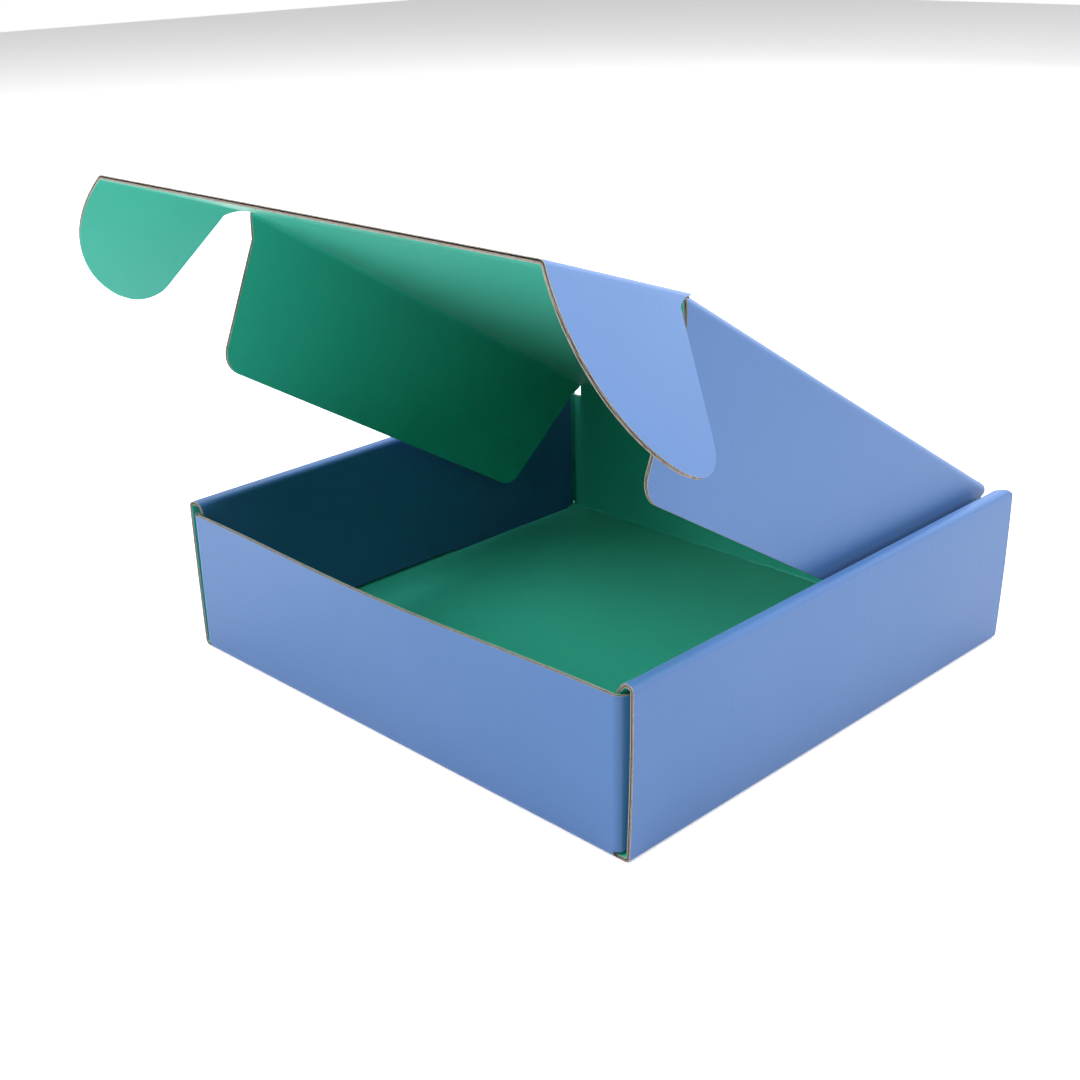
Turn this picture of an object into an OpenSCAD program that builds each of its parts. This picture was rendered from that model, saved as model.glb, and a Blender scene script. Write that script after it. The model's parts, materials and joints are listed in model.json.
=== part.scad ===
// Roll-end mailer box, folded from one die-cut sheet of fine-flute corrugated board.
// The tray stands on its floor. X runs along the front wall, Y towards the lid's hinge, Z up.
// The origin is on the ground, at the middle of the tray's floor.

/* [Board] */
// Thickness of the corrugated board
board_t = 1.6; // [1.2:0.1:2.2]
// Inside radius of a pressed fold
fold_r = 0.3; // [0.1:0.1:0.6]
// Gap on each side of a crease that the part swings on
crease_gap = 0.5; // [0.45:0.05:0.8]

/* [Tray] */
// Width over both side walls
box_l = 202; // [150:1:300]
// Depth over the front and back walls
box_w = 187; // [140:1:280]
// Height of the rolled side walls
side_h = 54; // [45:0.5:80]
// Front wall's top edge, below the rolled side walls
front_drop = 4; // [2:0.5:10]
// Lid hinge line, above the rolled side walls
hinge_rise = 2; // [1.5:0.5:4]
// Side wall's front edge, behind the front wall's face
side_front = 1; // [0.6:0.1:2]
// Side wall's rear end, behind the back wall's face
side_overhang = 3.5; // [0:0.5:8]
// Play between a corner tab and each ply around it
ply_play = 0.1; // [0.1:0.05:0.5]

/* [Inner plies] */
// Inner ply's front edge, behind the front wall's inner face
ply_front = 0.5; // [0.3:0.1:2]
// Inner ply's rear edge, in front of the back wall's inner face
ply_rear = 2; // [0.5:0.5:8]
// Inner ply's lower edge, above the floor
ply_lift = 0.5; // [0.2:0.1:1]
// Start of the front lock tab, from the front wall's face
front_lock_at = 12; // [8:1:20]
// Length of the front lock tab
front_lock_l = 42; // [20:1:50]
// End of the rear lock tab, from the back wall's face
rear_lock_at = 7; // [5:1:20]
// Length of the rear lock tab
rear_lock_l = 65; // [20:1:70]
// Lock tab's tip, above the underside of the floor
lock_tip = 0.3; // [0.1:0.1:0.8]
// Gap around a lock tab in its slot
lock_gap = 0.3; // [0.15:0.05:0.5]

/* [Corner tabs] */
// Length of a corner tab behind its fold
tab_l = 45; // [20:1:60]
// Corner tab's lower edge at the fold, above the floor
tab_lift = 0.8; // [0.4:0.1:2]
// Taper of a corner tab's upper and lower edges over its length
tab_taper = 6; // [0:0.5:10]
// Radius of a corner tab's free corners
tab_r = 5; // [1:0.5:8]

/* [Lid] */
// Lid's opening from shut
lid_open = 31; // [0:1:120]
// Gap between the front wall's inner face and the shut tuck flap
tuck_room = 1.6; // [1:0.1:4]
// Play between a flap or ear and what it slides past
slide_play = 0.3; // [0.2:0.05:0.6]
// Depth of the side flaps from their crease
flap_d = 51; // [30:0.5:51]
// Side flap's front edge at its crease, behind the tuck fold
flap_front = 4.5; // [3:0.5:10]
// Side flap's front edge at its foot, further back than at its crease
flap_slant = 7.5; // [0:0.5:10]
// Side flap's rear edge at its crease, in front of the hinge line
flap_back = 2.5; // [2:0.5:6]
// Side flap's rear edge at its foot, in front of the hinge line
flap_heel = 18; // [6:0.5:30]
// Radius of the side flaps' lower corners
flap_r = 8; // [2:0.5:12]
// Fold of the side flaps, from flat
flap_fold = 90; // [0:1:90]

/* [Tuck flap] */
// Gap between the tuck flap's free edge and the floor, when shut
tuck_lift = 0.4; // [0.2:0.1:4]
// Fold of the tuck flap, from flat
tuck_fold = 12.5; // [0:0.5:90]
// Ear's fold line, start from the tuck fold
ear_start = 5.5; // [5.5:0.5:10]
// Length of an ear from its fold line to its tip
ear_d = 51; // [30:0.5:60]
// Ear's tip, from the tuck fold
ear_tip = 6.5; // [4:0.5:12]
// Radius of an ear's tip
ear_tip_r = 9; // [4:0.5:12]
// Left ear's fold, from flat
left_ear_fold = 48; // [0:1:90]
// Right ear's fold, from flat
right_ear_fold = 57; // [0:1:90]

/* [Hidden] */
$fn = 48;
arc_steps = 8;
ear_steps = 20;
eps = 0.01;
outer_r = fold_r + board_t;
half_t = board_t / 2;
front_h = side_h - front_drop;
hinge_z = side_h + hinge_rise;
hinge_y = box_w - half_t;
// Places along Y are given from the front wall's outer face, which stands here.
front_y = -box_w / 2;
// The rolled wall holds two plies and a corner tab between them.
roll_w = 3 * board_t + 2 * ply_play;
end_wall_x = box_l / 2 - board_t - ply_play - outer_r;
ply_y0 = board_t + ply_front;
ply_y1 = box_w - board_t - ply_rear;
side_y1 = box_w + side_overhang;
// An ear slides down beside the inner ply, and a side flap beside the ear.
ear_x = box_l / 2 - roll_w - slide_play - half_t;
flap_x = ear_x - board_t - slide_play;
tuck_y = board_t + tuck_room + half_t;
lid_len = hinge_y - tuck_y;
tuck_d = hinge_z - board_t - tuck_lift;
panel_start = half_t + crease_gap;

// Corner between two straight edges, turned into an arc of the corner's own radius
function unit(v) = v / norm(v);
function bearing(v) = atan2(v.y, v.x);
function turn(a, b) = let (d = b - a) d > 180 ? d - 360 : d < -180 ? d + 360 : d;
function corner_arc(before, at, after, r) =
    let (
        u = unit(before - at),
        w = unit(after - at),
        half = acos(u * w) / 2,
        middle = at + unit(u + w) * r / sin(half),
        first = bearing(at + u * r / tan(half) - middle),
        sweep = turn(first, bearing(at + w * r / tan(half) - middle))
    )
    [for (i = [0 : arc_steps]) let (a = first + sweep * i / arc_steps) middle + r * [cos(a), sin(a)]];
function xy(p) = [p.x, p.y];
// Outline through corners given as [x, y, radius]
function rounded(c) = let (n = len(c)) [
    for (i = [0 : n - 1])
        each c[i].z == 0 ? [xy(c[i])] : corner_arc(xy(c[(i + n - 1) % n]), xy(c[i]), xy(c[(i + 1) % n]), c[i].z)
];

// Quarter of a folded board's section, about the fold's centre
module quarter_fold(turned) {
    intersection() {
        difference() {
            circle(r = outer_r);
            circle(r = fold_r);
        }
        rotate(turned) square(outer_r + eps);
    }
}

// Sections are drawn from a wall's outer face inwards, and upwards from the ground.
module floor_fold_section() {
    translate([outer_r, outer_r]) quarter_fold(180);
}

module outer_ply_section() {
    floor_fold_section();
    translate([outer_r, 0]) square([box_l / 2 - end_wall_x - outer_r, board_t]);
    translate([0, outer_r]) square([board_t, side_h - 2 * outer_r]);
    translate([outer_r, side_h - outer_r]) quarter_fold(90);
}

module roll_section() {
    translate([outer_r, side_h - board_t]) square([roll_w - 2 * outer_r, board_t]);
    translate([roll_w - outer_r, side_h - outer_r]) quarter_fold(0);
    inner_ply_section(board_t + ply_lift);
}

module inner_ply_section(from_z) {
    translate([roll_w - board_t, from_z]) square([board_t, side_h - outer_r - from_z]);
}

module end_wall_section(height) {
    floor_fold_section();
    translate([0, outer_r]) square([board_t, height - outer_r]);
}

// Stands a section of a side wall along Y
module along_y(from_y, to_y) {
    translate([0, to_y, 0]) rotate([90, 0, 0]) linear_extrude(to_y - from_y) children();
}

// Stands a section of an end wall along X
module along_x(half) {
    translate([-half, 0, 0]) rotate([90, 0, 90]) linear_extrude(2 * half) children();
}

module each_side() {
    translate([-box_l / 2, 0, 0]) children();
    translate([box_l / 2, 0, 0]) mirror([1, 0, 0]) children();
}

function lock_tabs() = [
    [front_lock_at, front_lock_at + front_lock_l],
    [box_w - rear_lock_at - rear_lock_l, box_w - rear_lock_at]
];

// Double side wall: up the outside, over the top and down the inside
module side_wall() {
    along_y(side_front, side_y1) outer_ply_section();
    along_y(ply_y0, ply_y1) roll_section();
}

module lock_tab_pair() {
    for (tab = lock_tabs()) along_y(tab[0], tab[1]) inner_ply_section(lock_tip);
}

module lock_slot_pair() {
    for (tab = lock_tabs())
        translate([roll_w - board_t - lock_gap, tab[0] - lock_gap, -eps])
            cube([board_t + 2 * lock_gap, tab[1] - tab[0] + 2 * lock_gap, board_t + 2 * eps]);
}

// Vertical fold and the tab behind it, trapped between a side wall's two plies
module corner_tab(height) {
    z0 = board_t + tab_lift;
    outline = rounded([
        [outer_r, z0, 0],
        [outer_r + tab_l, z0 + tab_taper, tab_r],
        [outer_r + tab_l, height - tab_taper, tab_r],
        [outer_r, height, 0]
    ]);
    translate([end_wall_x, outer_r, z0]) linear_extrude(height - z0) quarter_fold(270);
    translate([end_wall_x + fold_r, 0, 0]) rotate([90, 0, 90]) linear_extrude(board_t) polygon(outline);
}

module end_wall(height) {
    along_x(end_wall_x) end_wall_section(height);
    corner_tab(height);
    mirror([1, 0, 0]) corner_tab(height);
}

module hinge_bead(half) {
    rotate([0, 90, 0]) cylinder(d = board_t, h = 2 * half, center = true);
}

module back_wall() {
    translate([0, box_w, 0]) mirror([0, 1, 0]) {
        end_wall(front_h);
        translate([-flap_x - half_t, 0, front_h - eps])
            cube([2 * flap_x + board_t, board_t, hinge_z - front_h + eps]);
        translate([0, half_t, hinge_z]) hinge_bead(flap_x + half_t);
    }
}

module tray() {
    color("cornflowerblue") translate([0, front_y, 0]) {
        difference() {
            union() {
                translate([-end_wall_x, outer_r, 0]) cube([2 * end_wall_x, box_w - 2 * outer_r, board_t]);
                each_side() side_wall();
            }
            each_side() lock_slot_pair();
        }
        each_side() lock_tab_pair();
        end_wall(front_h);
        back_wall();
    }
}

// Frames of the swinging panels: -Y runs away from the hinge, +Z is the printed outside.
module on_lid() {
    translate([0, front_y + hinge_y, hinge_z]) rotate([-lid_open, 0, 0]) children();
}

module on_tuck() {
    on_lid() translate([0, -lid_len, 0]) rotate([tuck_fold, 0, 0]) children();
}

module panel(outline) {
    linear_extrude(board_t, center = true) polygon(outline);
}

// Round edge that a side panel folds about, running away from the hinge
module side_bead(from_s, to_s) {
    translate([0, -from_s, 0]) rotate([90, 0, 0]) cylinder(d = board_t, h = to_s - from_s);
}

module lid() {
    color("mediumseagreen") on_lid() {
        panel([
            [-flap_x, -panel_start],
            [flap_x, -panel_start],
            [flap_x, -lid_len],
            [-flap_x, -lid_len]
        ]);
        for (side = [-1, 1]) translate([side * flap_x, 0, 0]) side_bead(panel_start, lid_len - flap_front);
        translate([0, -lid_len, 0]) hinge_bead(flap_x);
    }
}

// Dust flap that drops inside a side wall
module side_flap() {
    panel(rounded([
        [panel_start, -flap_back, 0],
        [flap_d, -flap_heel, flap_r],
        [flap_d, -(lid_len - flap_front - flap_slant), flap_r],
        [panel_start, -(lid_len - flap_front), 0]
    ]));
}

module left_side_flap() {
    color("seagreen") on_lid() translate([-flap_x, 0, 0]) rotate([0, -flap_fold, 0]) mirror([1, 0, 0]) side_flap();
}

module right_side_flap() {
    color("royalblue") on_lid() translate([flap_x, 0, 0]) rotate([0, flap_fold, 0]) side_flap();
}

module tuck_flap() {
    color("mediumseagreen") on_tuck() {
        panel([
            [-flap_x, -panel_start],
            [flap_x, -panel_start],
            [ear_x, -ear_start],
            [ear_x, -tuck_d],
            [-ear_x, -tuck_d],
            [-ear_x, -ear_start]
        ]);
        for (side = [-1, 1]) translate([side * ear_x, 0, 0]) side_bead(ear_start, tuck_d);
    }
}

// Locking ear: a straight edge towards the lid, and a quarter of an ellipse down to its tip
module lock_ear() {
    tip_depth = ear_tip + 1.3 * ear_tip_r;
    curve = [
        for (i = [1 : ear_steps])
            let (a = 90 * i / ear_steps, depth = ear_tip + (tuck_d - ear_tip) * sin(a))
            if (depth > tip_depth) [max(ear_d * cos(a), panel_start), -depth, 0]
    ];
    panel(rounded(concat([[panel_start, -ear_start, 0], [ear_d, -ear_tip, ear_tip_r]], curve)));
}

module left_lock_ear() {
    color("mediumaquamarine") on_tuck()
        translate([-ear_x, 0, 0]) rotate([0, -left_ear_fold, 0]) mirror([1, 0, 0]) lock_ear();
}

module right_lock_ear() {
    color("cornflowerblue") on_tuck() translate([ear_x, 0, 0]) rotate([0, right_ear_fold, 0]) lock_ear();
}

tray();
lid();
left_side_flap();
right_side_flap();
tuck_flap();
left_lock_ear();
right_lock_ear();
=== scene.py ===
# %% [markdown]
# # A mailer box of corrugated board
# The box is one die-cut sheet: a tray with rolled side walls, and a lid with a tuck flap, two lock
# ears and two side flaps. The outside is printed blue and the inside green, and every cut edge
# shows the bare brown board. The packed model holds the sizes and the creases that the lid's parts
# swing on. This script dresses it: it lays real board, two printed liners with a fluted sheet
# between them, along the middle of each of those solids.

import json
import math

import bpy
import numpy as np
from mathutils import Matrix, Vector


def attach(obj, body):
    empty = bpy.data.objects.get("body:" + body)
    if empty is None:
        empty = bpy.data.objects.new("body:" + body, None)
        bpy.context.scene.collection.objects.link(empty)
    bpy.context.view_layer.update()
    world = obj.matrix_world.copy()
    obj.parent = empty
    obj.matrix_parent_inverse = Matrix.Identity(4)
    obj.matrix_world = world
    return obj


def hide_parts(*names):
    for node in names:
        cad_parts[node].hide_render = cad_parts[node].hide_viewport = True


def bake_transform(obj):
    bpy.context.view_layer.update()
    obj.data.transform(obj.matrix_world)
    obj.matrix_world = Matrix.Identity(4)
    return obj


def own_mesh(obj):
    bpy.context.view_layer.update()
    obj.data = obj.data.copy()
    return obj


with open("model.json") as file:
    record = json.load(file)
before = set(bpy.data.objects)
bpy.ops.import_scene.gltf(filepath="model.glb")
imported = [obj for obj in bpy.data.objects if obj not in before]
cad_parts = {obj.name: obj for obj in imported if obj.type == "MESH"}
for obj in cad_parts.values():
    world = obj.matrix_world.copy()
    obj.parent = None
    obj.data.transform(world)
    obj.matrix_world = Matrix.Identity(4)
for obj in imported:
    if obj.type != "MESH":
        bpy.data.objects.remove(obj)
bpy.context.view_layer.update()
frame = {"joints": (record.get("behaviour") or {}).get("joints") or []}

# %% [markdown]
# ## Sizes
# Lengths are in metres, written in millimetres. The creases come from the model's joints, so the
# lid and its flaps swing on the model's own lines. The tray's sizes are those of the sheet that it
# was cut from. Board that is folded up springs a little, so some places leave the ruled lines by a
# millimetre or two. Each of those amounts has its name in the cell that first uses it.

# %% Sizes of the board and the tray
MM = 0.001
BOARD_T = 1.6 * MM
FOLD_R = 0.3 * MM
OUTER_R = FOLD_R + BOARD_T
MIDDLE_R = FOLD_R + BOARD_T / 2
BOX_L = 202 * MM
BOX_W = 187 * MM
SIDE_H = 54 * MM
FRONT_H = 50 * MM
PLY_PLAY = 0.1 * MM
ROLL_W = 3 * BOARD_T + 2 * PLY_PLAY
END_WALL_X = BOX_L / 2 - BOARD_T - PLY_PLAY - OUTER_R
FRONT_Y = -BOX_W / 2
MIDDLE = BOARD_T / 2
print("rolled wall width in mm:", round(ROLL_W / MM, 2))

# %% Creases of the lid
crease = {joint["name"]: Vector(joint["pos_m"]) for joint in frame["joints"]}
axis = {joint["name"]: Vector(joint["axis"]) for joint in frame["joints"]}
most = {joint["name"]: joint["range_deg"][1] for joint in frame["joints"]}
RIGHT = Vector((1, 0, 0))
HINGE = crease["lid_hinge"]
TUCK = crease["tuck_fold"]
LID_L = (TUCK - HINGE).length
lid_away = (TUCK - HINGE).normalized()
lid_out = lid_away.cross(RIGHT)
tuck_away = -axis["left_ear_fold"]
tuck_out = tuck_away.cross(RIGHT)
FLAP_X = crease["right_flap_fold"].x
EAR_X = crease["right_ear_fold"].x
print("lid length in mm:", round(LID_L / MM, 1))
print("flap and ear creases in mm:", round(FLAP_X / MM, 2), round(EAR_X / MM, 2))

# %% [markdown]
# ## Board
# Corrugated board is three papers: an outer liner, an inner liner, and a fluted sheet glued between
# them. A texture could fake the flutes along a cut edge, but the edges are close to the camera, so
# they are real. Each panel starts as a grid of points along the middle of the board. Every point
# carries the direction of the printed outside, and its distance across the flutes. The liners need
# few rows of points, and the flutes six to a wave, so each panel is laid twice.

# %% Grids of points
LINER_STEP = 6 * MM
FLUTE_PITCH = 3.2 * MM
FLUTE_STEP = FLUTE_PITCH / 6
TOO_NEAR = 0.2


def stops(low, high, step, extra=()):
    """Places from low to high, evenly spread, with the extra ones among them."""
    count = max(1, round((high - low) / step))
    even = [low + (high - low) * i / count for i in range(count + 1)]
    near = step * TOO_NEAR
    kept = [e for e in even if e in (even[0], even[-1]) or all(abs(e - x) > near for x in extra)]
    return sorted(set(kept) | {x for x in extra if low < x < high})


print("flutes every", FLUTE_PITCH / MM, "mm, a point every", round(FLUTE_STEP / MM, 2), "mm")


# %% One piece of board
class Sheet:
    """The middle of one piece of board, as grids of points for its liners and its flutes."""

    def __init__(self):
        self.points, self.outward, self.across, self.faces, self.fluted = [], [], [], [], []
        self.known = {}

    def corner(self, fluted, point, out, across):
        """The number of a point, which panels that meet there share to the nearest micrometre."""
        key = (fluted, *(round(c * 1e6) for c in point))
        if key not in self.known:
            self.known[key] = len(self.points)
            self.points.append(tuple(point))
            self.outward.append(tuple(out))
            self.across.append(across)
        return self.known[key]

    def patch(self, columns, low, high, rows, place, across=None, holes=(), fluted=False):
        """A grid over columns, and over rows from 0 to 1 between low(u) and high(u)."""
        grid = []
        for u in columns:
            line = [low(u) + (high(u) - low(u)) * r for r in rows]
            spots = [(place(u, v), across(u, v) if across else v) for v in line]
            grid.append([self.corner(fluted, point, out, a) for (point, out), a in spots])
        for i in range(len(columns) - 1):
            for j in range(len(rows) - 1):
                u = (columns[i] + columns[i + 1]) / 2
                v = low(u) + (high(u) - low(u)) * (rows[j] + rows[j + 1]) / 2
                if any(a < u < b and c < v < d for a, b, c, d in holes):
                    continue
                ring = [grid[i][j], grid[i + 1][j], grid[i + 1][j + 1], grid[i][j + 1]]
                self.add_face(ring, fluted)

    def add_face(self, ring, fluted):
        """A face that points outwards, left out where its corners have run together."""
        ring = list(dict.fromkeys(ring))
        if len(ring) < 3:
            return
        a, b, c = (Vector(self.points[k]) for k in ring[:3])
        facing = (b - a).cross(c - a).dot(Vector(self.outward[ring[0]]))
        self.faces.append(ring if facing > 0 else ring[::-1])
        self.fluted.append(fluted)

    def panel(self, columns, low, high, place, across=None, extra=(), holes=(), rows=None):
        """A flat or bent panel: wide rows for the liners, and fine rows for the flutes."""
        reach = max(high(u) - low(u) for u in (columns[0], columns[len(columns) // 2], columns[-1]))
        shares = [(x - low(0)) / (high(0) - low(0)) for x in extra]
        wide = rows or stops(0, 1, LINER_STEP / reach, shares)
        narrow = rows or stops(0, 1, FLUTE_STEP / reach, shares)
        self.patch(columns, low, high, wide, place, across, holes)
        self.patch(columns, low, high, narrow, place, across, holes, fluted=True)


def level(height):
    return lambda u: height


print("a sheet holds", ", ".join(vars(Sheet())))

# %% [markdown]
# ## From a grid to real board
# The same three papers follow every panel and every fold, so one Geometry Nodes tree makes them.
# It lifts the liner grid to both faces and extrudes each into a thin slab. It pushes the flute grid
# up and down by a sine of its distance across the flutes, and extrudes that too. Printing and
# cutting press fine board a little thinner than it was glued, so the outer face stays where the
# model has it and the inner liner comes up by the pressed amount. At the end the papers are
# realized, and each kind of face gets its finish: print, bare paper, or a cut edge.

# %% Node helper
LINER_T = 0.28 * MM
MEDIUM_T = 0.2 * MM
PRESSED = 0.3 * MM
PRINT_OUT, PRINT_IN, BARE, CUT = range(4)


def add(tree, kind, inputs=(), **settings):
    """A node with its settings, whose inputs are values or other nodes' sockets."""
    node = tree.nodes.new(kind)
    for name, value in settings.items():
        setattr(node, name, value)
    for socket, value in dict(inputs).items():
        if isinstance(value, bpy.types.NodeSocket):
            tree.links.new(value, node.inputs[socket])
        else:
            node.inputs[socket].default_value = value
    return node


print("drawn board in mm:", round((BOARD_T - PRESSED) / MM, 2), "with liners of", LINER_T / MM)

# %% One paper of the board
WELD = 1e-6


def attribute(tree, name, kind):
    return add(tree, "GeometryNodeInputNamedAttribute", {"Name": name}, data_type=kind).outputs["Attribute"]


def mark(tree, sheet, code):
    """Writes the kind of face that the whole sheet has, for its finish later."""
    values = {"Geometry": sheet, "Name": "paper_face", "Value": code}
    node = add(tree, "GeometryNodeStoreNamedAttribute", values, data_type="INT", domain="FACE")
    return node.outputs["Geometry"]


def paper(tree, sheet, lift, thickness, over, under, rim):
    """A closed slab of paper, lifted from the middle of the board, with a code on each kind of face."""
    out = attribute(tree, "outward", "FLOAT_VECTOR")
    raised = add(tree, "ShaderNodeVectorMath", {0: out, "Scale": lift}, operation="SCALE").outputs[0]
    base = add(tree, "GeometryNodeSetPosition", {"Geometry": sheet, "Offset": raised}).outputs[0]
    grown = add(tree, "GeometryNodeExtrudeMesh", {"Mesh": base, "Offset Scale": 0.0, "Individual": False})
    thick = add(tree, "ShaderNodeVectorMath", {0: out, "Scale": thickness}, operation="SCALE").outputs[0]
    grown_top = {"Geometry": grown.outputs["Mesh"], "Selection": grown.outputs["Top"], "Offset": thick}
    slab = add(tree, "GeometryNodeSetPosition", grown_top).outputs[0]
    code = add(tree, "GeometryNodeSwitch", {"Switch": grown.outputs["Top"], "False": rim, "True": over},
               input_type="INT").outputs[0]
    back = add(tree, "GeometryNodeFlipFaces", {"Mesh": base}).outputs[0]
    whole = add(tree, "GeometryNodeJoinGeometry")
    tree.links.new(mark(tree, slab, code), whole.inputs[0])
    tree.links.new(mark(tree, back, under), whole.inputs[0])
    welded = {"Geometry": whole.outputs[0], "Distance": WELD}
    return add(tree, "GeometryNodeMergeByDistance", welded).outputs[0]


print("kinds of face:", len((PRINT_OUT, PRINT_IN, BARE, CUT)))


# %% The tree for a whole board
def board_tree():
    """Geometry Nodes for corrugated board, with its sizes and finishes as named inputs."""
    tree = bpy.data.node_groups.new("corrugated board", "GeometryNodeTree")
    face = tree.interface
    face.new_socket("Geometry", in_out="INPUT", socket_type="NodeSocketGeometry")
    for name in ("Board thickness", "Pressed", "Liner thickness", "Medium thickness", "Flute pitch"):
        face.new_socket(name, in_out="INPUT", socket_type="NodeSocketFloat")
    for name in ("Outside print", "Inside print", "Bare paper", "Cut edge"):
        face.new_socket(name, in_out="INPUT", socket_type="NodeSocketMaterial")
    face.new_socket("Geometry", in_out="OUTPUT", socket_type="NodeSocketGeometry")
    given = tree.nodes.new("NodeGroupInput").outputs
    end = tree.nodes.new("NodeGroupOutput")

    def maths(operation, a, b=0.0):
        return add(tree, "ShaderNodeMath", {0: a, 1: b}, operation=operation).outputs[0]

    # The liners' grid and the flutes' grid part here, and are told apart by an attribute.
    both = {"Geometry": given["Geometry"], "Selection": attribute(tree, "fluted", "BOOLEAN")}
    parted = add(tree, "GeometryNodeSeparateGeometry", both, domain="FACE")
    half = maths("DIVIDE", given["Board thickness"], 2.0)
    inner = maths("SUBTRACT", given["Pressed"], half)
    middle = maths("DIVIDE", given["Pressed"], 2.0)
    liner = given["Liner thickness"]
    medium = given["Medium thickness"]
    # The fluted paper waves as far as the liners leave it room.
    turns = maths("DIVIDE", attribute(tree, "across", "FLOAT"), given["Flute pitch"])
    wave = maths("SINE", maths("MULTIPLY", turns, 2 * math.pi))
    half_medium = maths("DIVIDE", medium, 2.0)
    room = maths("SUBTRACT", maths("SUBTRACT", half, middle), liner)
    rise = maths("SUBTRACT", room, half_medium)
    crest = maths("SUBTRACT", maths("ADD", maths("MULTIPLY", wave, rise), middle), half_medium)
    flat, fluted = parted.outputs["Inverted"], parted.outputs["Selection"]
    papers = add(tree, "GeometryNodeJoinGeometry")
    for sheet in (
        paper(tree, flat, maths("SUBTRACT", half, liner), liner, PRINT_OUT, BARE, CUT),
        paper(tree, flat, inner, liner, BARE, PRINT_IN, CUT),
        paper(tree, fluted, crest, medium, BARE, BARE, BARE),
    ):
        tree.links.new(sheet, papers.inputs[0])
    last = add(tree, "GeometryNodeRealizeInstances", {"Geometry": papers.outputs[0]}).outputs[0]
    for code, finish in enumerate(("Outside print", "Inside print", "Bare paper", "Cut edge")):
        chosen = add(tree, "FunctionNodeCompare", {2: attribute(tree, "paper_face", "INT"), 3: code},
                     data_type="INT", operation="EQUAL").outputs[0]
        last = add(tree, "GeometryNodeSetMaterial",
                   {"Geometry": last, "Selection": chosen, "Material": given[finish]}).outputs[0]
    tree.links.new(last, end.inputs[0])
    return tree


BOARD = board_tree()
print("board tree:", len(BOARD.nodes), "nodes")

# %% [markdown]
# ## Finishes
# The print is a thin matt ink on smooth paper. Up close the paper's fibres show as a fine grain, the
# ink lies a little unevenly, and the flutes below telegraph through the liner as faint bands. The
# bands follow each panel, so they are driven by the distance across the flutes that every point
# carries. The cut edges are bare: grey-brown liners round a browner fluted paper.

# %% Print
CLOUD_SCALE = 38.0
GRAIN_SCALE = 2600.0
GRAIN_SHARE = 0.45
BAND_SHARE = 0.35
PRINT_RELIEF = 0.08 * MM
PRINT_BUMP = 0.12
PRINT_ROUGHNESS = 0.45
PRINT_SHEEN = 0.12


def shader(name):
    material = bpy.data.materials.new(name)
    material.use_nodes = True
    tree = material.node_tree
    return material, tree, tree.nodes["Principled BSDF"]


def noise(tree, where, scale, detail):
    return add(tree, "ShaderNodeTexNoise", {"Vector": where, "Scale": scale, "Detail": detail}).outputs["Fac"]


def printed(name, ink, thin_ink):
    """Matt ink on coated paper, a little uneven, over faint bands from the flutes below."""
    material, tree, surface = shader(name)
    where = add(tree, "ShaderNodeTexCoord").outputs["Object"]
    cloud = noise(tree, where, CLOUD_SCALE, 3.0)
    grain = noise(tree, where, GRAIN_SCALE, 2.0)
    both = add(tree, "ShaderNodeMix", {0: GRAIN_SHARE, 2: cloud, 3: grain}, data_type="FLOAT").outputs[0]
    tone = add(tree, "ShaderNodeMapRange", {0: both, 1: 0.3, 2: 0.7, 3: 0.0, 4: 1.0}).outputs[0]
    colour = add(tree, "ShaderNodeMix", {0: tone, 6: ink, 7: thin_ink}, data_type="RGBA").outputs[2]
    tree.links.new(colour, surface.inputs["Base Color"])
    across = add(tree, "ShaderNodeAttribute", attribute_name="across").outputs["Fac"]
    wave = 2 * math.pi / FLUTE_PITCH
    turns = add(tree, "ShaderNodeMath", {0: across, 1: wave}, operation="MULTIPLY").outputs[0]
    band = add(tree, "ShaderNodeMath", {0: turns}, operation="SINE").outputs[0]
    mixed = add(tree, "ShaderNodeMath", {0: band, 1: BAND_SHARE, 2: grain}, operation="MULTIPLY_ADD")
    relief = {"Height": mixed.outputs[0], "Strength": PRINT_BUMP, "Distance": PRINT_RELIEF}
    bump = add(tree, "ShaderNodeBump", relief).outputs[0]
    tree.links.new(bump, surface.inputs["Normal"])
    surface.inputs["Roughness"].default_value = PRINT_ROUGHNESS
    surface.inputs["Specular IOR Level"].default_value = 0.5
    surface.inputs["Sheen Weight"].default_value = PRINT_SHEEN
    surface.inputs["Sheen Roughness"].default_value = 0.5
    return material


blue = printed("outside blue print", (0.036, 0.121, 0.322, 1), (0.043, 0.131, 0.338, 1))
green = printed("inside green print", (0.022, 0.440, 0.312, 1), (0.030, 0.465, 0.332, 1))
print("prints:", blue.name, "and", green.name)


# %% Bare board
FIBRE_RELIEF = 0.1 * MM
FIBRE_BUMP = 0.4


def bare(name, dark, pale, scale, roughness):
    """Unprinted paper: a fine mottle of fibres in two browns."""
    material, tree, surface = shader(name)
    where = add(tree, "ShaderNodeTexCoord").outputs["Object"]
    fibre = noise(tree, where, scale, 4.0)
    tone = add(tree, "ShaderNodeMapRange", {0: fibre, 1: 0.35, 2: 0.65, 3: 0.0, 4: 1.0}).outputs[0]
    colour = add(tree, "ShaderNodeMix", {0: tone, 6: dark, 7: pale}, data_type="RGBA").outputs[2]
    tree.links.new(colour, surface.inputs["Base Color"])
    relief = {"Height": fibre, "Strength": FIBRE_BUMP, "Distance": FIBRE_RELIEF}
    bump = add(tree, "ShaderNodeBump", relief).outputs[0]
    tree.links.new(bump, surface.inputs["Normal"])
    surface.inputs["Roughness"].default_value = roughness
    return material


kraft = bare("brown kraft paper", (0.20, 0.16, 0.13, 1), (0.30, 0.25, 0.20, 1), 900.0, 0.9)
cut_edge = bare("cut liner edge", (0.20, 0.185, 0.17, 1), (0.32, 0.30, 0.275, 1), 1400.0, 0.85)
print("bare board:", kraft.name, "and", cut_edge.name)

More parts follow.
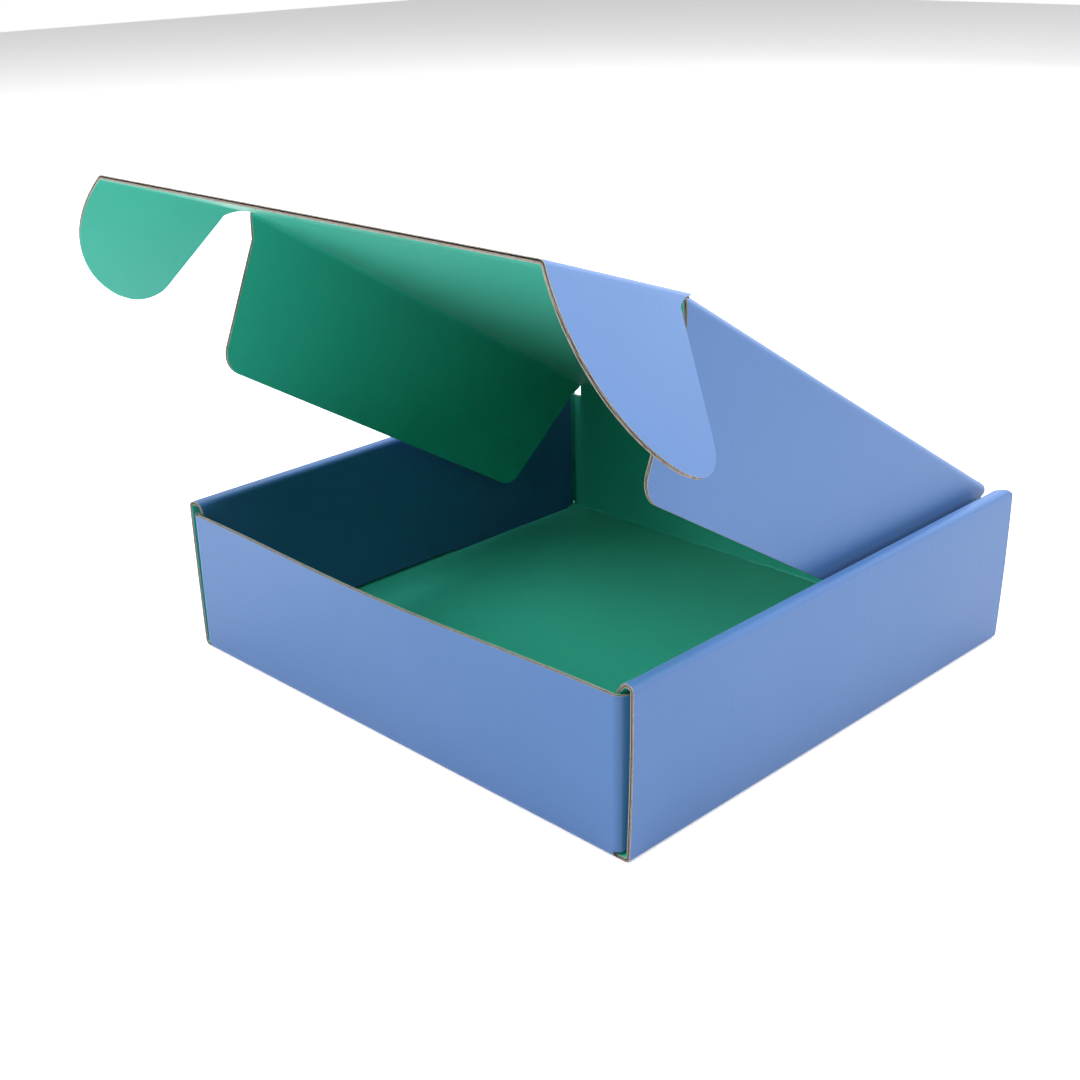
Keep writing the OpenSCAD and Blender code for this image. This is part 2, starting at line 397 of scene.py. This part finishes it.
# %% [markdown]
# ## Making a piece
# A finished piece is a plain mesh: the tree's result, taken with new_from_object, with the modifier
# gone. Flat faces stay crisp and folds are shaded smooth, by the angle between their faces.

# %% From sheet to piece
SHARP = math.radians(32)
print("edges stay crisp above", round(math.degrees(SHARP)), "degrees")


def corrugated(name, sheet):
    """Turns a sheet's grids into a piece of board, as a plain mesh at the origin."""
    mesh = bpy.data.meshes.new(name + "_middle")
    mesh.from_pydata(sheet.points, [], sheet.faces)
    outward = mesh.attributes.new("outward", "FLOAT_VECTOR", "POINT")
    outward.data.foreach_set("vector", np.array(sheet.outward, np.float32).ravel())
    across = mesh.attributes.new("across", "FLOAT", "POINT")
    across.data.foreach_set("value", np.array(sheet.across, np.float32))
    mesh.attributes.new("fluted", "BOOLEAN", "FACE").data.foreach_set("value", sheet.fluted)
    piece = bpy.data.objects.new(name, mesh)
    bpy.context.scene.collection.objects.link(piece)
    modifier = piece.modifiers.new("board", "NODES")
    modifier.node_group = BOARD
    values = {
        "Board thickness": BOARD_T, "Pressed": PRESSED, "Liner thickness": LINER_T,
        "Medium thickness": MEDIUM_T, "Flute pitch": FLUTE_PITCH, "Outside print": blue,
        "Inside print": green, "Bare paper": kraft, "Cut edge": cut_edge,
    }
    for item in BOARD.interface.items_tree:
        if item.name in values:
            modifier[item.identifier] = values[item.name]
    seen = bpy.context.evaluated_depsgraph_get()
    made = bpy.data.meshes.new_from_object(piece.evaluated_get(seen))
    piece.modifiers.remove(modifier)
    piece.data = made
    made.name = name
    for polygon in made.polygons:
        polygon.use_smooth = True
    made.set_sharp_from_angle(angle=SHARP)
    print(name, "has", sum(len(p.vertices) - 2 for p in made.polygons), "triangles")
    return piece


# %% [markdown]
# ## Folds
# A crease in board isn't a sharp line: the inside crushes and the outside bends round it. A fold here
# is an arc of the board's middle between two flat panels. Its place function takes a distance u from
# the crease, negative on the panel that it comes from, and a distance v along the crease.

# %% Place on a fold, and on a flat panel
ARC_STEPS = 8
UP, BACK, DOWN = Vector((0, 0, 1)), Vector((0, 1, 0)), Vector((0, 0, -1))


def on_fold(corner, coming, inward, degrees, along, radius=MIDDLE_R):
    """Place on a fold that turns from one panel's direction towards the inside."""
    full = math.radians(degrees)
    reach = radius * math.tan(full / 2)

    def place(u, v):
        a = full * min(max((u + reach) / (2 * reach), 0), 1)
        out = coming * math.sin(a) - inward * math.cos(a)
        if u < -reach:
            point = corner + coming * u
        elif u > reach:
            point = corner + (coming * math.cos(full) + inward * math.sin(full)) * u
        else:
            point = corner - coming * reach + inward * radius + out * radius
        return point + along * v, out

    return place, reach


def on_panel(corner, columns_run, rows_run, out):
    return lambda u, v: (corner + columns_run * u + rows_run * v, out)


def swapped(place):
    """The same place for a grid whose columns run along the crease."""
    return lambda u, v: place(v, u)


def fold_stops(reach, before, after):
    """Distances from the crease that follow its arc, from the panel before it to the one after."""
    arc = [reach * (2 * i / ARC_STEPS - 1) for i in range(ARC_STEPS + 1)]
    return sorted(set([-before, after] + [a for a in arc if -before < a < after]))


def shares(places):
    """Places along a strip, as shares of its length."""
    return [(p - places[0]) / (places[-1] - places[0]) for p in places]


print("a square fold has a radius of", round(MIDDLE_R / MM, 2), "mm, in", ARC_STEPS, "steps")


# %% [markdown]
# ## Outlines
# A die cuts the flaps, the tabs and the ears with rounded corners. An outline is a list of corners,
# each with its own radius, and the grid's rows run between its lowest and highest line at each
# distance u from the crease.

# %% Rounded outlines
CORNER_STEPS = 8


def rounded(corners):
    """Outline through corners given as (u, v, radius), with an arc at each."""
    line = []
    for i, (u, v, radius) in enumerate(corners):
        at = Vector((u, v))
        if radius == 0:
            line.append(at)
            continue
        before = (Vector(corners[i - 1][:2]) - at).normalized()
        after = (Vector(corners[(i + 1) % len(corners)][:2]) - at).normalized()
        half = before.angle(after) / 2
        middle = at + (before + after).normalized() * radius / math.sin(half)
        first = at + before * radius / math.tan(half) - middle
        last = at + after * radius / math.tan(half) - middle
        sweep = -first.angle_signed(last)
        for k in range(CORNER_STEPS + 1):
            line.append(middle + Matrix.Rotation(sweep * k / CORNER_STEPS, 2) @ first)
    return line


def span(outline):
    """The outline's lowest and highest line, as two functions of the distance u."""
    ends = [p.x for p in outline]

    def crossings(u):
        u = min(max(u, min(ends)), max(ends))
        found = [p.y for p in outline if abs(p.x - u) < 1e-9]
        for p, q in zip(outline, outline[1:] + outline[:1]):
            if min(p.x, q.x) < u < max(p.x, q.x):
                found.append(p.y + (q.y - p.y) * (u - p.x) / (q.x - p.x))
        return found

    return (lambda u: min(crossings(u))), (lambda u: max(crossings(u)))


def outline_columns(outline, start, step):
    """Columns from a start to the outline's far end, with one at each of its corners."""
    return stops(start, max(p.x for p in outline), step, [p.x for p in outline if p.x > start])


print("rounded corners in", CORNER_STEPS, "steps")

# %% [markdown]
# ## Tray: floor
# The floor lies on the ground with its printed side down. Each side has two slots, which the lock
# tabs of the inner plies drop into. The sheet is one piece with the walls, so its grid takes a
# column wherever a slot or the end of a wall needs one. The front corner tabs spring inward, so the
# front wall ends a little earlier there, and the floor goes on below the side wall by itself.

# %% Floor
COLUMN_STEP = 9 * MM
LOCK_TABS = ((12 * MM, 54 * MM), (BOX_W - 72 * MM, BOX_W - 7 * MM))
LOCK_GAP = 0.3 * MM
SLOT_X = (BOX_L / 2 - ROLL_W - LOCK_GAP, BOX_L / 2 - ROLL_W + BOARD_T + LOCK_GAP)
FLOOR_Y = BOX_W / 2 - OUTER_R
slots_y = [(FRONT_Y + a - LOCK_GAP, FRONT_Y + b + LOCK_GAP) for a, b in LOCK_TABS]
slots_x = [(-SLOT_X[1], -SLOT_X[0]), SLOT_X]
slots = [(*xs, *ys) for xs in slots_x for ys in slots_y]
slot_ends = [y for ys in slots_y for y in ys]
TAB_X = END_WALL_X + MIDDLE_R
# How far the front corner tabs spring inward at their creases, on the left (-1) and the right (1).
SPRUNG = {-1: 0.8 * MM, 1: 1.6 * MM}
SIDE_FRONT = 1 * MM
front_ends = {side: TAB_X - SPRUNG[side] - MIDDLE_R for side in (-1, 1)}
breaks = [-SLOT_X[0], SLOT_X[0], -front_ends[-1], front_ends[1]]
floor_columns = stops(-END_WALL_X, END_WALL_X, COLUMN_STEP, breaks)
on_floor = on_panel(UP * MIDDLE, RIGHT, BACK, DOWN)
floor_sheet = Sheet()
floor_sheet.panel(floor_columns, level(-FLOOR_Y), level(FLOOR_Y), on_floor, extra=slot_ends, holes=slots)
for side in (-1, 1):
    beyond_wall = [x for x in floor_columns if side * x >= front_ends[side]]
    floor_sheet.panel(beyond_wall, level(FRONT_Y + SIDE_FRONT), level(-FLOOR_Y), on_floor)
floor = corrugated("floor", floor_sheet)
print("lock slots:", len(slots))

# %% [markdown]
# ## Tray: front and back walls
# Each end wall stands on a fold of the floor, and goes on round a vertical fold at both ends into a
# tapered tab, which the rolled side wall traps. The real board pushes back: the front wall bows out
# between its corners, its two tabs spring inward beside their creases, and the side walls lean out.
# A flat wall would be simpler, but the bow shows along the whole front edge.

# %% How the walls spring
TAB_L = 45 * MM
TAB_Z0 = BOARD_T + 0.8 * MM
TAB_TAPER = 6 * MM
TAB_R = 5 * MM
SPRING_L = 6 * MM
# How far the tops of the side walls lean out, on the left and the right.
LEANS = {-1: 0.9 * MM, 1: 1.6 * MM}
FRONT_BOW = 3 * MM


def lean(side, height):
    """How far a side wall leans out at a height: most of it low down, as the strip bows."""
    return LEANS[side] * (1 - (1 - min(height / SIDE_H, 1)) ** 2)


def inset(side, end, y, height):
    """How far a corner tab stands inside its place between the plies, near its own crease."""
    away = min(abs(y - end * (BOX_W / 2 - MIDDLE)) / SPRING_L, 1)
    return ((SPRUNG[side] if end < 0 else 0) + lean(side, height)) * (1 - away)


print("side walls lean out in mm:", [round(lean(side, SIDE_H) / MM, 2) for side in (-1, 1)])


# %% Corner tabs
def corner_tab(sheet, side, end, wall_y, across):
    """The vertical fold at a wall's end, and the tab that runs back from it to between the plies."""
    upright, reach = on_fold(Vector((side * TAB_X, wall_y, 0)), RIGHT * side, BACK * -end, 90, UP)

    def place(u, v):
        point, out = upright(u, v)
        return point + RIGHT * side * (lean(side, v) - inset(side, end, point.y, v)), out

    foot = reach + TAB_L
    outline = rounded([
        (reach, TAB_Z0, 0), (foot, TAB_Z0 + TAB_TAPER, TAB_R),
        (foot, FRONT_H - TAB_TAPER, TAB_R), (reach, FRONT_H, 0),
    ])
    low, high = span(outline)
    columns = sorted({SPRING_L, *outline_columns(outline, reach, COLUMN_STEP)})
    sheet.panel(fold_stops(reach, reach, reach), level(TAB_Z0), level(FRONT_H), place, across)
    sheet.panel(columns, low, high, place, across)


print("corner tabs in mm:", TAB_L / MM, "long")

# %% Front and back walls
BAND = 2.4 * MM
SNUG = 0.9 * MM
HINGE_X = FLAP_X + SNUG - 1 * MM
BOW_POWER = 1.5


def end_wall(name, end, upper_x=None):
    """Front wall at end -1, back wall at end 1, with a narrower upper part up to the lid's crease."""
    wall_y = end * (BOX_W / 2 - MIDDLE)
    sheet = Sheet()
    place, reach = on_fold(Vector((0, wall_y, MIDDLE)), BACK * end, UP, 90, RIGHT)
    turn = fold_stops(reach, reach, reach)
    ends = front_ends if end < 0 else {-1: END_WALL_X, 1: END_WALL_X}
    sheet.panel([x for x in floor_columns if -ends[-1] <= x <= ends[1]], level(-reach), level(reach),
                swapped(place), lambda u, v: wall_y + end * v, rows=shares(turn))

    def standing(u, v):
        """The front wall bows out most at the middle of its free edge, and not at its corners."""
        bow = FRONT_BOW * (v / FRONT_H) ** BOW_POWER * math.cos(math.pi / 2 * u / TAB_X) ** 2
        return Vector((u, wall_y + (end * bow if end < 0 else 0), v)), BACK * end

    def across(u, v):
        return wall_y + end * (v - MIDDLE)

    sheet.panel(stops(-ends[-1], ends[1], COLUMN_STEP), level(OUTER_R), level(FRONT_H), standing, across)
    for side in (-1, 1):
        corner_tab(sheet, side, end, wall_y, across)
    if upper_x:
        upper_columns = stops(-upper_x, upper_x, COLUMN_STEP)
        sheet.panel(upper_columns, level(FRONT_H), level(HINGE.z - BAND), standing, across)
    return corrugated(name, sheet)


front_wall = end_wall("front_wall", -1)
back_wall = end_wall("back_wall", 1, HINGE_X)

# %% [markdown]
# ## Tray: rolled side walls
# A side wall is one strip of board that goes up the outside, over the top and down the inside, and
# ends in two tabs that lock into the floor. Its ends are trimmed: the inner ply starts behind the
# front wall and stops before the back wall, so the cut runs across the rolled top at a slant. The
# whole strip leans out, rises a little towards the back, and gives way where a tab presses on it.

# %% How the rolled strip springs
SIDE_BACK = BOX_W + 3.5 * MM
PLY_FRONT = BOARD_T + 0.5 * MM
PLY_RELIEF = 3 * MM
PLY_BACK = BOX_W - BOARD_T - 2 * MM
PLY_FOOT = BOARD_T + 0.5 * MM
TAB_TIP = 0.3 * MM
RISE = 2 * MM
STRIP_TOP = SIDE_H - MIDDLE


def leaning(side, place):
    """The strip leans out with its height, and rises towards the back."""
    def leant(u, v):
        point, out = place(u, v)
        grown = UP * RISE * point.z / SIDE_H * (point.y - FRONT_Y) / BOX_W
        return point + RIGHT * side * lean(side, point.z) + grown, out
    return leant


def pushed(side, place):
    """The inner ply gives way to the corner tabs, below the top of the roll."""
    def given_way(u, v):
        point, out = place(u, v)
        share = min((STRIP_TOP - point.z) / (STRIP_TOP - FRONT_H), 1)
        inward = max(inset(side, end, point.y, point.z) for end in (-1, 1))
        return point - RIGHT * side * inward * share, out
    return given_way


print("the strip rises in mm:", RISE / MM, "at its rear end")


# %% Side walls
def side_wall(name, side):
    """The strip of board that makes one side wall, from the floor to its lock tabs."""
    sheet = Sheet()
    outward = RIGHT * side
    out_x = BOX_L / 2 - MIDDLE
    in_x = BOX_L / 2 - ROLL_W + MIDDLE
    roll = out_x - in_x
    foot_fold, reach = on_fold(outward * out_x + UP * MIDDLE, outward, UP, 90, BACK)
    top_fold, _ = on_fold(outward * out_x + UP * STRIP_TOP, UP, -outward, 90, BACK)
    ply_fold, _ = on_fold(outward * in_x + UP * STRIP_TOP, -outward, DOWN, 90, BACK)
    foot_fold, top_fold = leaning(side, foot_fold), leaning(side, top_fold)
    ply_fold = leaning(side, pushed(side, ply_fold))

    def trimmed(outer, inner, start):
        """An end's line, slanting over the roll from the outer ply's cut to the inner ply's."""
        return lambda u: FRONT_Y + outer + (inner - outer) * min(max((u + start) / (roll + 2 * reach), 0), 1)

    def strip(columns, place, start, **more):
        low, high = trimmed(SIDE_FRONT, PLY_FRONT, start), trimmed(SIDE_BACK, PLY_BACK, start)
        sheet.panel(columns, low, high, place, **more)

    # Starts far outside the roll, so that a strip lies wholly before the slant or beyond it.
    before, beyond = -1.0, 1.0
    turn = fold_stops(reach, reach, reach)
    edge = END_WALL_X - out_x
    strip([edge, SLOT_X[1] - out_x, -reach], foot_fold, before, extra=slot_ends,
          holes=[(edge, SLOT_X[1] - out_x, *ys) for ys in slots_y])
    strip(turn + stops(reach, STRIP_TOP - MIDDLE - reach, COLUMN_STEP)[1:], foot_fold, before)
    strip(turn, top_fold, reach)
    strip([reach, roll - reach], top_fold, reach)
    near_tabs = [end * (BOX_W / 2 - MIDDLE - SPRING_L) for end in (-1, 1)]
    strip(turn, ply_fold, roll + reach, extra=near_tabs)
    level_with_front = STRIP_TOP - FRONT_H
    strip([reach, level_with_front], ply_fold, beyond, extra=near_tabs)

    def relieved(u):
        """The front cut, set back below the front wall's edge to clear the sprung corner tab."""
        return FRONT_Y + PLY_FRONT + PLY_RELIEF * min(max((u - level_with_front) / PLY_FOOT, 0), 1)

    relief_end = level_with_front + PLY_FOOT
    sheet.panel([level_with_front, *stops(relief_end, STRIP_TOP - PLY_FOOT, COLUMN_STEP)], relieved,
                level(FRONT_Y + PLY_BACK), ply_fold, extra=near_tabs)
    for first, last in LOCK_TABS:
        tab_columns = [STRIP_TOP - PLY_FOOT, STRIP_TOP - TAB_TIP]
        sheet.panel(tab_columns, level(FRONT_Y + first), level(FRONT_Y + last), ply_fold)
    return corrugated(name, sheet)


left_wall = side_wall("left_side_wall", -1)
right_wall = side_wall("right_side_wall", 1)

# %% [markdown] ## Lid The lid's panels are flat, and a narrow band of board bends at each crease. The
# folds of a lid are looser than the tray's pressed ones, so their radius is larger.

# %% Crease bands
SOFT_R = 1.8 * MM


def bend_between(piece):
    """Bakes a band's place into its mesh; the band rides no body."""
    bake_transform(piece)


def cross_band(name, corner, coming, out, leaving, half, across):
    """A band over a crease that runs across the box, between the directions of its two panels."""
    degrees = math.degrees(coming.angle(leaving))
    place, reach = on_fold(corner, coming, -out, degrees, RIGHT, SOFT_R)
    sheet = Sheet()
    sheet.panel(stops(-half, half, COLUMN_STEP), level(-BAND), level(BAND), swapped(place),
                lambda u, v: across + v, rows=shares(fold_stops(reach, BAND, BAND)))
    return corrugated(name, sheet)


print("a crease band is", round(2 * BAND / MM, 1), "mm wide")

# %% Lid panel
SNUG_L = 100 * MM
LID_HALF = FLAP_X - BAND
lid_sheet = Sheet()


def snug(v):
    """How much wider the lid is on each side, near its hinge, where it fills the gap between the rolls."""
    return SNUG * max(1 - v / SNUG_L, 0)


def on_lid(u, v):
    return HINGE + RIGHT * u * (1 + snug(v) / LID_HALF) + lid_away * v, lid_out


lid_sheet.panel(stops(-LID_HALF, LID_HALF, COLUMN_STEP), level(BAND), level(LID_L - BAND), on_lid)
lid_panel = corrugated("lid_panel", lid_sheet)
hinge_band = cross_band("hinge_crease", HINGE, UP, BACK, lid_away, HINGE_X, 0.0)
tuck_band = cross_band("tuck_crease", TUCK, lid_away, lid_out, tuck_away, EAR_X - BAND, LID_L)

# %% [markdown]
# ## Side flaps
# The side flaps hang square from the lid and slide down inside the rolled walls. Their heels are cut
# away at a slant, so that they clear the back wall as the lid comes down. One outline holds both the
# flap and its crease, and its first points close the small gap at the hinge.

# %% Side flaps
FLAP_D = 51 * MM
FLAP_R = 8 * MM
FLAP_HEEL = 18 * MM
FLAP_FRONT = LID_L - 4.5 * MM
FLAP_SLANT = 7.5 * MM
hinge_end = [
    (-BAND, BAND), (-1.3 * MM, BAND), (-1 * MM, -0.6 * MM), (2.4 * MM, -0.6 * MM),
    (4.5 * MM, 1 * MM), (6 * MM, 2 * MM),
]
tuck_end = [(8 * MM, FLAP_FRONT - 1.2 * MM), (0, LID_L - 1.1 * MM), (-BAND, LID_L - BAND)]
flap_outline = rounded([
    *((u, v, 0) for u, v in hinge_end),
    (FLAP_D, FLAP_HEEL, FLAP_R), (FLAP_D, FLAP_FRONT - FLAP_SLANT, FLAP_R),
    *((u, v, 0) for u, v in tuck_end),
])


def hinged_panel(name, side, corner, out, along, degrees, outline, wider=level(0)):
    """A panel that folds down from the side of its neighbour, and the band at its crease."""
    coming = RIGHT * side
    straight, reach = on_fold(corner, coming, -out, degrees, along, SOFT_R)

    def place(u, v):
        point, facing = straight(u, v)
        return point + coming * wider(v), facing

    low, high = span(outline)
    panel, band = Sheet(), Sheet()
    panel.panel(outline_columns(outline, BAND, COLUMN_STEP), low, high, place)
    band.panel(fold_stops(reach, BAND, BAND), low, high, place)
    leaving = (straight(BAND, 0)[0] - corner).normalized()
    return corrugated(name, panel), corrugated(name + "_crease", band), coming, leaving


flaps = {}
for word, side in (("left", -1), ("right", 1)):
    corner = Vector((side * FLAP_X, HINGE.y, HINGE.z))
    made = hinged_panel(word + "_dust_flap", side, corner, lid_out, lid_away, 90, flap_outline, snug)
    flaps[word] = (corner, *made)

# %% [markdown]
# ## Tuck flap and lock ears
# The tuck flap drops inside the front wall, and its two ears go down between the side walls and the
# flaps. An ear has a straight edge towards the lid, a round tip, and a long curve back to the flap's
# free edge. That curve is a quarter of an ellipse, so it is worked out and not listed.

# %% Tuck flap and ears
TUCK_D = HINGE.z - BOARD_T - 0.4 * MM
EAR_START = 5.9 * MM
EAR_GAP = -0.6 * MM
EAR_D = 51 * MM
EAR_TIP = 6.8 * MM
EAR_TIP_R = 9 * MM
EAR_STEPS = 20
CURVE_START = EAR_TIP + 1.3 * EAR_TIP_R
tuck_sheet = Sheet()
on_tuck = on_panel(TUCK, RIGHT, tuck_away, tuck_out)
tuck_sheet.panel(stops(BAND - EAR_X, EAR_X - BAND, COLUMN_STEP), level(BAND), level(TUCK_D), on_tuck)
tuck_panel = corrugated("tuck_panel", tuck_sheet)

curve = []
for i in range(1, EAR_STEPS + 1):
    turn = math.radians(90 * i / EAR_STEPS)
    depth = EAR_TIP + (TUCK_D - EAR_TIP) * math.sin(turn)
    if depth > CURVE_START:
        curve.append((EAR_D * math.cos(turn), depth, 0))
ear_outline = rounded([
    (0, EAR_GAP, 0), (1.2 * MM, 3.2 * MM, 0), (4 * MM, EAR_START, 0), (EAR_D, EAR_TIP, EAR_TIP_R), *curve,
])
ears = {}
for word, side in (("left", -1), ("right", 1)):
    corner = Vector((side * EAR_X, TUCK.y, TUCK.z))
    folded = most[word + "_ear_fold"]
    made = hinged_panel(word + "_ear", side, corner, tuck_out, tuck_away, folded, ear_outline)
    ears[word] = (corner, *made)

# %% [markdown]
# ## On their bodies
# The panels ride the bodies that carry them, and replace the plain solids that they lie
# in. The hinge, tuck and ear creases stay where they were made.

# %% Ride the bodies
for piece in (floor, front_wall, back_wall, left_wall, right_wall):
    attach(piece, "tray")
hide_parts("tray")
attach(lid_panel, "lid")
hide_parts("lid")
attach(tuck_panel, "tuck_flap")
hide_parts("tuck_flap")
bend_between(hinge_band)
bend_between(tuck_band)
for joined, ending in ((flaps, "_side_flap"), (ears, "_lock_ear")):
    for word, (corner, panel, band, coming, leaving) in joined.items():
        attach(panel, word + ending)
        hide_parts(word + ending)
for word, (corner, panel, band, coming, leaving) in ears.items():
    bend_between(band)

# %% [markdown]
# A side flap folds only 25 degrees further, so its crease band stays on the lid, with a mesh of
# its own.

# %% Creases of the side flaps
for word, (corner, panel, band, coming, leaving) in flaps.items():
    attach(band, "lid")
    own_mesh(band)

# %% [markdown]
# ## Floor, light and camera
# The box stands on a plain pale floor. Broad soft lamps light it from the left front, the front, the
# right, behind and above, and a dim world fills the shadows. The camera sees that world as white, and
# the floor a little lifted towards white, which adds no light to the box and keeps its shadow.

# %% Floor
FLOOR_SIZE = 6.0
FLOOR_LIFT = 0.40
FLOOR_COLOUR = (0.80, 0.80, 0.81, 1)
WHITE = (1, 1, 1, 1)


def in_view(tree):
    """One for what the camera sees, straight or in a gloss, and nought for light on the box."""
    path = add(tree, "ShaderNodeLightPath").outputs
    seen = path["Is Camera Ray"]
    for kind in ("Is Glossy Ray", "Is Transmission Ray"):
        seen = add(tree, "ShaderNodeMath", {0: seen, 1: path[kind]}, operation="MAXIMUM").outputs[0]
    return seen


bpy.ops.mesh.primitive_plane_add(size=FLOOR_SIZE)
ground = bpy.context.object
ground.name = "ground"
material, tree, surface = shader("white floor")
surface.inputs["Base Color"].default_value = FLOOR_COLOUR
surface.inputs["Roughness"].default_value = 0.9
surface.inputs["Emission Color"].default_value = WHITE
shown = add(tree, "ShaderNodeLightPath").outputs["Is Camera Ray"]
glow = add(tree, "ShaderNodeMath", {0: shown, 1: FLOOR_LIFT}, operation="MULTIPLY").outputs[0]
tree.links.new(glow, surface.inputs["Emission Strength"])
ground.data.materials.append(material)
print("floor:", FLOOR_SIZE, "m across")

# %% Lamps and world
LAMP_AIM = Vector((0, 0, 0.05))
SKY_LIGHT = 0.08
SOFTBOXES = (
    ("left front softbox", (-1.0, -1.1, 0.9), (1.2, 0.8), 18),
    ("front softbox", (-0.2, -1.3, 1.2), (1.0, 0.8), 9),
    ("right softbox", (1.5, 0.5, 0.9), (1.2, 1.0), 18),
    ("back softbox", (0.0, 1.6, 0.7), (1.6, 0.8), 9.5),
    ("top softbox", (0.0, 0.0, 1.8), (1.6, 1.6), 58),
)


def lamp(name, at, size, power):
    """A soft rectangular lamp of so many watts, aimed at the box."""
    data = bpy.data.lights.new(name, "AREA")
    data.shape = "RECTANGLE"
    data.size, data.size_y = size
    data.energy = power
    item = bpy.data.objects.new(name, data)
    bpy.context.scene.collection.objects.link(item)
    item.location = at
    item.rotation_euler = (LAMP_AIM - Vector(at)).to_track_quat("-Z", "Y").to_euler()


for name, at, size, power in SOFTBOXES:
    lamp(name, at, size, power)
world = bpy.data.worlds.new("studio")
bpy.context.scene.world = world
world.use_nodes = True
sky = world.node_tree
level_seen = add(sky, "ShaderNodeMapRange", {0: in_view(sky), 3: SKY_LIGHT, 4: 1.0}).outputs[0]
sky.nodes["Background"].inputs["Color"].default_value = WHITE
sky.links.new(level_seen, sky.nodes["Background"].inputs["Strength"])
print("lamps:", len(bpy.data.lights))

# %% [markdown]
# ## Camera
# The camera stands off the front right corner and looks down on it. Its place, its three angles and
# its lens were found by matching the corners of the box, and the picture is level but for the roll.

# %% Camera
CAMERA_LENS, SENSOR_WIDTH = 52.4, 36
CAMERA_AT = (0.3427, -0.3601, 0.2425)
CAMERA_YAW, CAMERA_PITCH, CAMERA_ROLL = (math.radians(a) for a in (45.60, 22.23, -1.43))
sight = Vector((-math.sin(CAMERA_YAW), math.cos(CAMERA_YAW), 0)) * math.cos(CAMERA_PITCH)
sight.z = -math.sin(CAMERA_PITCH)
level_right = Vector((sight.y, -sight.x, 0)).normalized()
level_up = level_right.cross(sight)
camera_right = level_right * math.cos(CAMERA_ROLL) + level_up * math.sin(CAMERA_ROLL)
camera_up = camera_right.cross(sight)
turned = Matrix((camera_right, camera_up, -sight)).transposed().to_4x4()
data = bpy.data.cameras.new("camera")
data.lens = CAMERA_LENS
data.sensor_width = SENSOR_WIDTH
data.sensor_fit = "HORIZONTAL"
camera = bpy.data.objects.new("camera", data)
bpy.context.scene.collection.objects.link(camera)
camera.matrix_world = Matrix.Translation(CAMERA_AT) @ turned
bpy.context.scene.camera = camera
bpy.context.scene.view_settings.view_transform = "Standard"
print("camera", round(Vector(CAMERA_AT).length, 3), "m from the middle of the floor")

# %% [markdown]
# The dressed box has to stay the size of the model.
